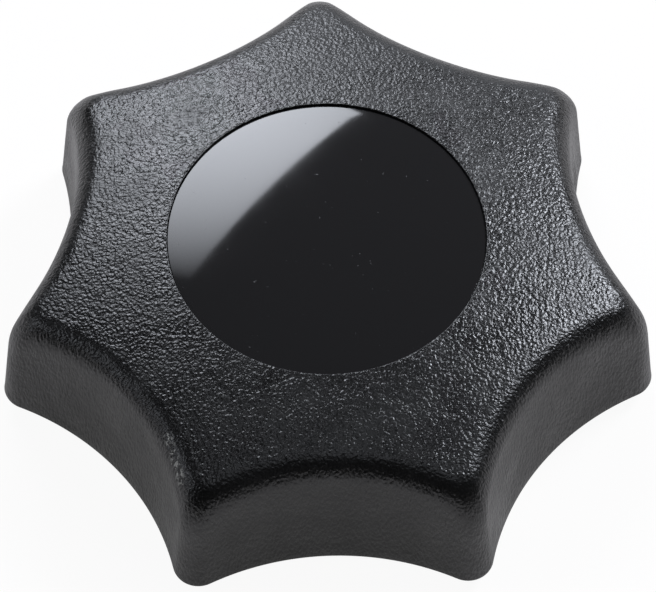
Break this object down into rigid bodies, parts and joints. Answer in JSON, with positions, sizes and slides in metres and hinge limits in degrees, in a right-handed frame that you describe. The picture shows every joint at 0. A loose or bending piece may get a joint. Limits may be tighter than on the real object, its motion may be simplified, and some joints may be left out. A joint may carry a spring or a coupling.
{
  "type": "star knob",
  "caption": "Star-shaped grip knob with scooped sides, a domed grained crown, a glossy snap-in cap and a tapped metal insert for tightening a clamp or machine part by hand.",
  "frame": {"origin": "centre of the threaded bore's mouth, in the insert's seat face, which is the lowest face of the knob", "axes": "+Z out of the crown along the knob's axis, +Y towards one lobe"},
  "size_m": [0.0586, 0.0572, 0.0168],
  "materials": {
    "body_plastic": "coarse leather grain on the crown, fine matte on the sides",
    "insert_brass": "turned",
    "cap_plastic": "glossy"
  },
  "bodies": {
    "root": {"knob_body": "body_plastic", "threaded_insert": "insert_brass", "cap": "cap_plastic"}
  },
  "joints": []
}
